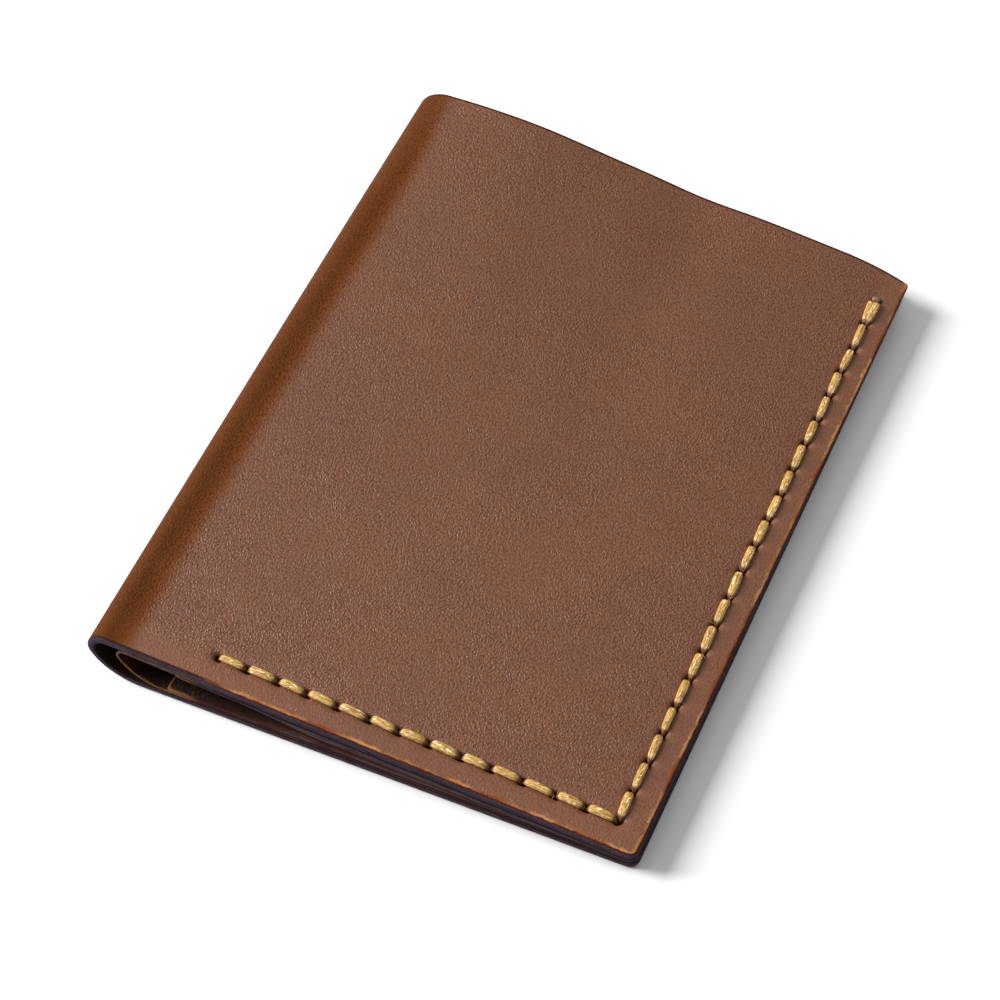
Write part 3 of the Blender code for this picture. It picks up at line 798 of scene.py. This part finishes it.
def leather_face(s, flat, deep, warm, shaded_valley, bow, hole):
    """Colour of the grained face, with painted shade in its grain valleys, round the spine's bend and
    at the stitch holes; its mottle.
    """
    cloud = s.noise(flat, 0.05, 3.0, 0.6)
    mottle = s.noise(flat, 0.9, 3.0, 0.6)
    face = s.mix(s.span(cloud, 0.3, 0.7), deep, warm)
    face = s.mix(s.span(mottle, 0.3, 0.75, 0.0, 0.30), face, tuple(1.25 * c for c in warm))
    # painted shade: the face is darkened in the grain's valleys
    face = s.mix(shaded_valley, face, (0.42 * deep[0], 0.33 * deep[1], 0.28 * deep[2]))
    # painted shade: the face is darkened round the spine's bend
    face = s.mix(s.span(bow, 0.30, 1.0, 0.0, 0.56), face, tuple(0.30 * c for c in deep))
    # painted shade at the stitch holes
    return s.mix(hole, face, HOLE_SHADE_COLOUR), mottle


def leather_edge(s, flat, ragged, paint, wear):
    """Colours of the worn bevel and of the cut edge, which is painted or raw."""
    patchy = s.span(s.noise(flat, 0.16, 2.0), 0.40, 0.62)
    worn = s.mix(patchy, (0.19, 0.050, 0.016), (0.42, 0.20, 0.075))
    worn = s.mix(wear, (0.030, 0.009, 0.005), worn)
    streak = s.noise(s.stretched(flat, (2.6, 2.6, 0.10)), 1.0, 3.0)
    cut = s.mix(s.span(streak, 0.35, 0.7), (0.026, 0.016, 0.024), (0.060, 0.042, 0.060))
    stained = s.mix(wear, cut, (0.07, 0.015, 0.009))
    painted = s.mix(s.span(ragged, 0.30, 0.52), stained, cut)
    raw = s.mix(s.span(streak, 0.3, 0.7), (0.085, 0.042, 0.022), (0.15, 0.085, 0.05))
    return worn, s.mix(paint, raw, painted)


def leather_material(name, deep, warm, strength, flesh_shade_from, shine):
    """Fine-grained oiled leather with painted or raw cut edges, drawn in the flat coordinates."""
    s = Shader(name)
    flat = s.attribute("flat", "Vector")
    band, press, paint, bow, wear = map(s.attribute, "band press paint bow wear".split())
    grain, height, free = leather_grain(s, flat, press)
    # the grain's valleys, where shade is painted into the colour and the gloss is dulled
    shaded_valley = s.math("MULTIPLY", s.span(grain, 0.75, 0.15, 0.0, 0.62), free)
    # where shade is painted in and around the stitch holes
    hole = s.span(press, 1.02, 1.6)
    face, mottle = leather_face(s, flat, deep, warm, shaded_valley, bow, hole)

    scuff = s.noise(s.stretched(flat, (0.22, 0.8, 1.0), SCUFF_TURN), 1.0, 2.0)
    scuff = s.math("MULTIPLY", s.span(scuff, 0.60, 0.70), s.span(band, -1.5, -0.5))
    scuff = s.math("MULTIPLY", scuff, s.span(s.noise(flat, 0.22, 1.0), 0.5, 0.62))
    face = s.mix(s.math("MULTIPLY", scuff, s.math("MULTIPLY", wear, 0.5)), face, SCUFF_COLOUR)

    # band measures the way over the bevel and the cut edge, with ragged borders between colours
    shift = s.math("SUBTRACT", s.noise(flat, 0.9, 3.0), 0.5)
    ragged = s.math("ADD", band, s.math("MULTIPLY", shift, 0.30))
    worn, edge = leather_edge(s, flat, ragged, paint, wear)
    fringe = s.math("MULTIPLY", s.math("SUBTRACT", s.noise(flat, 0.55, 4.0, 0.7), 0.5), wear)
    fringe = s.math("ADD", band, s.math("MULTIPLY", fringe, 1.5))
    on_bevel = s.span(fringe, -0.20, 0.04)
    colour = s.mix(s.math("MULTIPLY", on_bevel, 0.9), face, worn)
    colour = s.mix(s.span(ragged, 0.19, 0.27), colour, edge)
    # painted shade: the hidden face of a layer is made near black
    colour = s.mix(s.span(band, flesh_shade_from, flesh_shade_from + 0.1), colour, FLESH_SHADE_COLOUR)

    rough = s.span(s.math("ADD", grain, s.math("MULTIPLY", mottle, 0.3)), 0.1, 1.5, 0.60, 0.50)
    dull = s.math("MAXIMUM", s.math("MAXIMUM", on_bevel, hole), s.span(bow, 0.0, 0.75))
    dull = s.math("MAXIMUM", dull, s.math("MULTIPLY", shaded_valley, 0.45))
    level = s.span(dull, 0.0, 1.0, shine, 0.02)
    bump = s.node("Bump", {"Height": height, "Strength": strength, "Distance": 0.09 * MM})
    s.set(Base_Color=colour, Roughness=rough, Normal=bump.outputs[0], Specular_IOR_Level=level)
    return s.material


def thread_material():
    """Waxed linen thread: bundled fibres, lighter where they lie open and darker between them, with a
    painted highlight along the plies and painted shade where it dives into its holes.
    """
    s = Shader("waxed_thread_fibres")
    strand = s.attribute("strand", "Vector")
    dive_shade = s.attribute("dive_shade")
    fibres = s.noise(s.stretched(strand, (1.3, 0.20, 1.0)), 1.0, 3.0, 0.6)
    ply_and_highlight = s.noise(s.stretched(strand, (0.7, 0.40, 1.0), math.radians(18)), 1.0, 2.0)
    colour = s.mix(s.span(fibres, 0.36, 0.62), (0.27, 0.115, 0.016), (0.66, 0.395, 0.095))
    # painted highlight along the plies
    colour = s.mix(s.span(ply_and_highlight, 0.57, 0.68, 0.0, 0.9), colour, (0.98, 0.80, 0.44))
    # painted shade where the thread dives into its holes
    colour = s.mix(s.span(dive_shade, 0.10, 0.80, 0.0, 0.92), colour, (0.13, 0.042, 0.009))
    height = s.math("ADD", fibres, s.math("MULTIPLY", ply_and_highlight, 0.8))
    bump = s.node("Bump", {"Height": height, "Strength": 1.0, "Distance": 0.14 * MM})
    s.set(Base_Color=colour, Roughness=0.38, Normal=bump.outputs[0], Specular_IOR_Level=0.55)
    return s.material


def melted_material():
    """Thread melted to a small brown bead."""
    s = Shader("melted_thread")
    tone = s.noise(s.attribute("strand", "Vector"), 1.5, 2.0)
    colour = s.mix(s.span(tone, 0.3, 0.7), (0.10, 0.055, 0.03), (0.26, 0.16, 0.09))
    s.set(Base_Color=colour, Roughness=0.35)
    return s.material


# ---- putting it together ----

BORDER_POINTS = 41


def border_points(fold, ends, share, depths):
    up = np.linspace(BOTTOM, TOP, BORDER_POINTS)
    run = strip_run(fold, ends, share, up)
    return np.concatenate([fold.place(run, up, d + 0 * up) for d in depths])


def border_direction(fold, ends, share, onward=Vector()):
    """The way the leather runs at a border, turned toward the way it goes on, square to the line."""
    up = np.array([BOTTOM, TOP, 0.0, 0.0])
    run = strip_run(fold, ends, share, up) + np.array([0, 0, -0.1, 0.1]) * MM     # a short way
    p = fold.place(run, up, fold.depth + 0 * up)
    line, along = Vector(p[1] - p[0]).normalized(), Vector(p[3] - p[2]).normalized() + onward
    return np.array((along - line * along.dot(line)).normalized())


def bend(obj, bodies, direction, low, high):
    """Bakes obj's placement into its mesh; direction, low and high are not used."""
    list(bodies)
    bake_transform(obj)


def bend_layer(fold, ends, depths, back, spine, front, back_reach, front_reach):
    """Works out where a layer's three pieces meet across the spine, and bakes each piece's placement
    into its mesh.
    """
    first, second = STRIP_MIDDLES
    border_1 = border_points(fold, ends, first, depths)
    border_2 = border_points(fold, ends, second, depths)
    along = border_direction(fold, ends, first)
    high = (border_1 @ along).min()
    bend(back, ("back_half", "spine_lower"), along, high - back_reach, high)
    along = border_direction(fold, ends, second, onward=Vector((1.0, 0.0, 0.0)))
    low = (border_2 @ along).max()
    bend(front, ("spine_upper", "front_half"), along, low, low + front_reach)
    line = border_2.mean(0) - border_1.mean(0)
    across = border_1[BORDER_POINTS - 1] - border_1[0]
    along = line - across * (line @ across) / (across @ across)
    along /= np.linalg.norm(along)
    bend(spine, ("spine_lower", "spine_upper"), along, (border_1 @ along).max(),
         (border_2 @ along).min())


def placed(fold, front):
    """Where a layer's half lies: in front, its points are measured from the line's far end."""
    return (on_front if front else on_back)(fold)


def drawn_along(fold, front):
    """How far along its line a half's point lies, so that the grain runs on across the spine."""
    return lambda inset, y: fold.length(y) - inset if front else inset


def everywhere(value):
    """The same value at every point of a sheet."""
    return lambda inset, y: value + 0 * inset


def worn_edges(inset, y):
    """The bevel is worn down to tan leather along the stitched bottom edge and the free edge."""
    along_bottom = smooth((61.5 * MM - inset) / (5 * MM)) * smooth((TOP - 3 * MM - y) / (2 * MM))
    return np.maximum(along_bottom, smooth((1.0 * MM - inset) / (0.5 * MM)))


def glued_edges(inset, y):
    """Painted where the layers are glued together, raw where a layer's edge is free."""
    return smooth((POCKET_INNER - 3 * MM - inset) / (2 * MM))


def worn_free_edges(inset, y):
    """Lighter where a thin layer's edge is free, dark where the layers are glued together."""
    return 0.45 - 0.37 * glued_edges(inset, y)


def dress(sheet, holes, groove, ripple_seed, faces_in):
    """Sinks the stitch holes into a sheet, presses its margin, marks painted shade round the holes and
    gives it an uneven face.
    """
    sink, hole_shade = hole_dimples(holes, sheet.inset, sheet.y)
    off = seam_trough(holes, sheet.inset, sheet.y)
    if groove:
        sink = np.maximum(sink, groove * smooth((1.15 - off) / 0.45))
    else:
        sink += 0.07 * MM * np.exp(-(off / 0.8) ** 2)
    wave = ripple(sheet.inset, sheet.y, ripple_seed, 0.05 * MM, 22 * MM)
    wave *= np.clip(sheet.edge / (5 * MM), 0, 1)
    sheet.sink = sink + (0 if faces_in else 1) * wave
    from_edge = np.minimum(sheet.inset, sheet.y - BOTTOM)
    margin = np.exp(-(np.maximum(from_edge - 2.2 * MM, 0) / (1.6 * MM)) ** 2)
    near_seam = np.exp(-(off / 1.1) ** 2)
    sheet.press = np.maximum(0.85 * margin, 0.9 * near_seam) + hole_shade


def mark_spine_shade_and_dull(obj):
    """Marks the band round the spine's bend, where shade is painted into the colour and the gloss is
    dulled.
    """
    points = np.empty(3 * len(obj.data.vertices), np.float32)
    obj.data.vertices.foreach_get("co", points)
    x, y, _ = points.reshape(-1, 3).T
    from_spine = x + WIDTH / 2 - between(SPINE_LEFT, y)
    from_spine += SPINE_SHADE_TOP_SHIFT * smooth((y - TOP + SPINE_SHADE_TOP) / SPINE_SHADE_TOP)
    note(obj, "bow", 1 - smooth((from_spine - SPINE_SHADE_FROM) / SPINE_SHADE_FADE))


def stand_for_layer(layer, back, spine, front):
    """Hides the CAD nodes of a layer's back, front and spine pieces."""
    for obj, parts in ((back, ["back"]), (front, ["front"]), (spine, ["spine_lower", "spine_upper"])):
        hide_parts(*(layer + "_" + part for part in parts))


def stand_for(obj, node, body):
    """Puts a piece in the place of one CAD node, on the body that carries it."""
    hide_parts(node)
    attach(obj, body)


def make_shell(material):
    outer = (0.0, SHELL)
    bevel = (0.36 * MM, 0.26 * MM)
    pieces = {}
    for front in (False, True):
        holes = EDGE_HOLES[front]
        sheet = half_sheet(SHELL_FOLD, SHELL_ENDS, front, TOP, outer, hole_lines(holes), 0.9 * MM,
                           bevel)
        dress(sheet, holes, 0 if front else 0.66 * MM, 31 if front else 32, not front)
        name = LABEL[front] + "_cover_leather"
        pieces[front] = sheet.build(name, placed(SHELL_FOLD, front), drawn_along(SHELL_FOLD, front),
                                    material, everywhere(1.0),
                                    worn_edges if front else everywhere(0.2))
    sheet = spine_sheet(SHELL_FOLD, SHELL_ENDS, TOP, outer, bevel)
    spine = sheet.build("spine_leather", SHELL_FOLD.place, lambda run, y: run, material,
                        everywhere(1.0), everywhere(0.0))
    for obj in (pieces[False], spine, pieces[True]):
        mark_spine_shade_and_dull(obj)
    bend_layer(SHELL_FOLD, SHELL_ENDS, outer, pieces[False], spine, pieces[True],
               7.5 * MM, 7.0 * MM)
    stand_for_layer("shell", pieces[False], spine, pieces[True])


def make_liner(material):
    depths = (LINER_DEPTH + LINER, LINER_DEPTH)
    top = TOP - LINER_DROP
    bevel = (0.10 * MM, 0.08 * MM)
    pieces = {}
    for front in (False, True):
        upper = [h for h in EDGE_HOLES[front][BOTTOM_STITCHES:] if h[1] > POCKET_TOP - PITCH]
        lines = ([SIDE_MARGIN], [h[1] for h in upper])
        sheet = half_sheet(LINER_FOLD, LINER_ENDS, front, top, depths, lines, 1.5 * MM, bevel)
        sink, hole_shade = hole_dimples(upper, sheet.inset, sheet.y)
        sheet.sink = np.minimum(sink, 0.25 * MM)
        sheet.press = hole_shade
        name = LABEL[front] + "_liner_leather"
        pieces[front] = sheet.build(name, placed(LINER_FOLD, front), drawn_along(LINER_FOLD, front),
                                    material, glued_edges, worn_free_edges)
    sheet = spine_sheet(LINER_FOLD, LINER_ENDS, top, depths, bevel)
    spine = sheet.build("liner_bend_leather", LINER_FOLD.place, lambda run, y: run, material,
                        everywhere(0.0), everywhere(0.5))
    bend_layer(LINER_FOLD, LINER_ENDS, depths, pieces[False], spine, pieces[True],
               7.5 * MM, 6.0 * MM)
    stand_for_layer("liner", pieces[False], spine, pieces[True])


def make_pockets(material):
    for front, body in ((False, "back_half"), (True, "front_half")):
        holes, inner = EDGE_HOLES[front], POCKET_HOLES[front]
        sheet = pocket_sheet(holes, inner, POCKET_CORNER if front else 0.5 * MM)
        shown = [h for h in holes if h[1] < POCKET_TOP]
        sink, hole_shade = hole_dimples(shown, sheet.inset, sheet.y)
        more, seam_hole_shade = hole_dimples(inner, sheet.inset, sheet.y)
        off = np.minimum(seam_trough(shown, sheet.inset, sheet.y),
                         seam_trough(inner, sheet.inset, sheet.y))
        sheet.sink = np.minimum(sink + more, 0.3 * MM) + 0.10 * MM * np.exp(-(off / 0.8) ** 2)
        sheet.press = np.maximum(hole_shade, seam_hole_shade) + 0.7 * np.exp(-(off / 1.1) ** 2)
        run_of = (lambda inset, y: -inset) if front else (lambda inset, y: inset)
        node = "pocket_" + LABEL[front]
        obj = sheet.build("card_" + node, placed(LINER_FOLD, front), run_of, material,
                          glued_edges, worn_free_edges)
        stand_for(obj, node, body)


def make_threads(fibres, melted):
    def edge_inward(i):
        return (0.0, 1.0) if i < BOTTOM_STITCHES else (1.0, 0.0)

    def spine_inward(i):
        return (-1.0, 0.0)

    for front, body in ((False, "back_half"), (True, "front_half")):
        holes = EDGE_HOLES[front]
        thread = Thread(51 if front else 52)
        if front:
            thread.seam(holes, edge_inward, lambda y: 0.04 * MM, -1, 0.58, True)
        else:
            thread.seam(holes, edge_inward, lambda y: 0.63 * MM, -1, 0.50)
        place = placed(SHELL_FOLD, front)
        if front:
            frayed_fibres(thread, holes, 61, 16)
        inside = STACK + 0.06 * MM
        thread.seam(holes, edge_inward,
                    lambda y: inside if y < POCKET_TOP + PITCH / 4 else POCKET_DEPTH - GLUE, 1, 0.26)
        obj = thread.build("edge_stitches_" + LABEL[front], place, fibres)
        stand_for(obj, "edge_seam_" + LABEL[front], body)

        thread = Thread(53 if front else 54)
        thread.seam(POCKET_HOLES[front], spine_inward, lambda y: inside, 1, 0.26)
        obj = thread.build("pocket_stitches_" + LABEL[front], placed(LINER_FOLD, front), fibres)
        stand_for(obj, "pocket_seam_" + LABEL[front], body)
        if front:
            bead = Thread(55)
            melted_end(bead, holes[-1])
            obj = bead.build("thread_end_bead", place, melted)
            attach(obj, body)


# ---- floor, light and camera ----

def make_floor():
    s = Shader("pale_floor")
    s.set(Base_Color=(0.9, 0.9, 0.9), Roughness=0.9, Specular_IOR_Level=0.2)
    mesh = bpy.data.meshes.new("floor")
    mesh.from_pydata([(-6, -6, 0), (6, -6, 0), (-6, 6, 0), (6, 6, 0)], [], [(0, 1, 3, 2)])
    mesh.materials.append(s.material)
    floor = linked("floor", mesh)
    floor.location.z = FLOOR_Z - 0.02 * MM


def softbox(name, toward, distance, size, power):
    """A rectangular white light in the direction given, facing the object."""
    data = bpy.data.lights.new(name, "AREA")
    data.shape, data.energy = "RECTANGLE", power
    data.size, data.size_y = size
    lamp = linked(name, data)
    direction = Vector(toward).normalized()
    lamp.location = direction * distance
    lamp.rotation_mode = "QUATERNION"
    lamp.rotation_quaternion = direction.to_track_quat("Z", "Y")


def make_light():
    world = bpy.data.worlds.new("studio")
    world.use_nodes = True
    background = world.node_tree.nodes["Background"]
    background.inputs["Color"].default_value = (1.0, 1.0, 1.0, 1.0)
    background.inputs["Strength"].default_value = 0.26
    bpy.context.scene.world = world
    softbox("key_box", toward=(-0.81, -0.14, 0.47), distance=3.0, size=(1.35, 2.6), power=212.0)
    softbox("overhead_box", toward=(0.10, 0.54, 0.84), distance=2.4, size=(2.3, 2.3), power=17.0)
    bpy.context.scene.view_settings.view_transform = "Standard"


def make_camera():
    """Looks down on the cover from the right of the stitched bottom edge."""
    data = bpy.data.cameras.new("camera")
    data.sensor_width = 36.0
    data.lens = 108.0
    data.clip_start, data.clip_end = 0.01, 10.0
    camera = linked("camera", data)
    right = Vector((0.909009, 0.413377, -0.053115))
    down = Vector((0.307895, -0.751953, -0.582895))
    ahead = Vector((-0.280896, 0.513503, -0.810809))
    axes = Matrix((right, -down, -ahead)).transposed()
    camera.matrix_world = Matrix.Translation((0.11453, -0.21470, 0.33230)) @ axes.to_4x4()
    bpy.context.scene.camera = camera


make_camera()
make_light()
make_floor()
grained = leather_material("grained_leather", deep=(0.135, 0.0412, 0.0104),
                           warm=(0.156, 0.0485, 0.0126), strength=0.9, flesh_shade_from=1.6, shine=0.56)
# the lining's near-black colours are painted shade for the unlit inside of the holder
lining_painted_shade = leather_material("lining_leather_painted_shade", deep=(0.016, 0.0055, 0.003),
                          warm=(0.024, 0.008, 0.004), strength=0.4, flesh_shade_from=0.71, shine=0.15)
make_shell(grained)
make_liner(lining_painted_shade)
make_pockets(lining_painted_shade)
make_threads(thread_material(), melted_material())
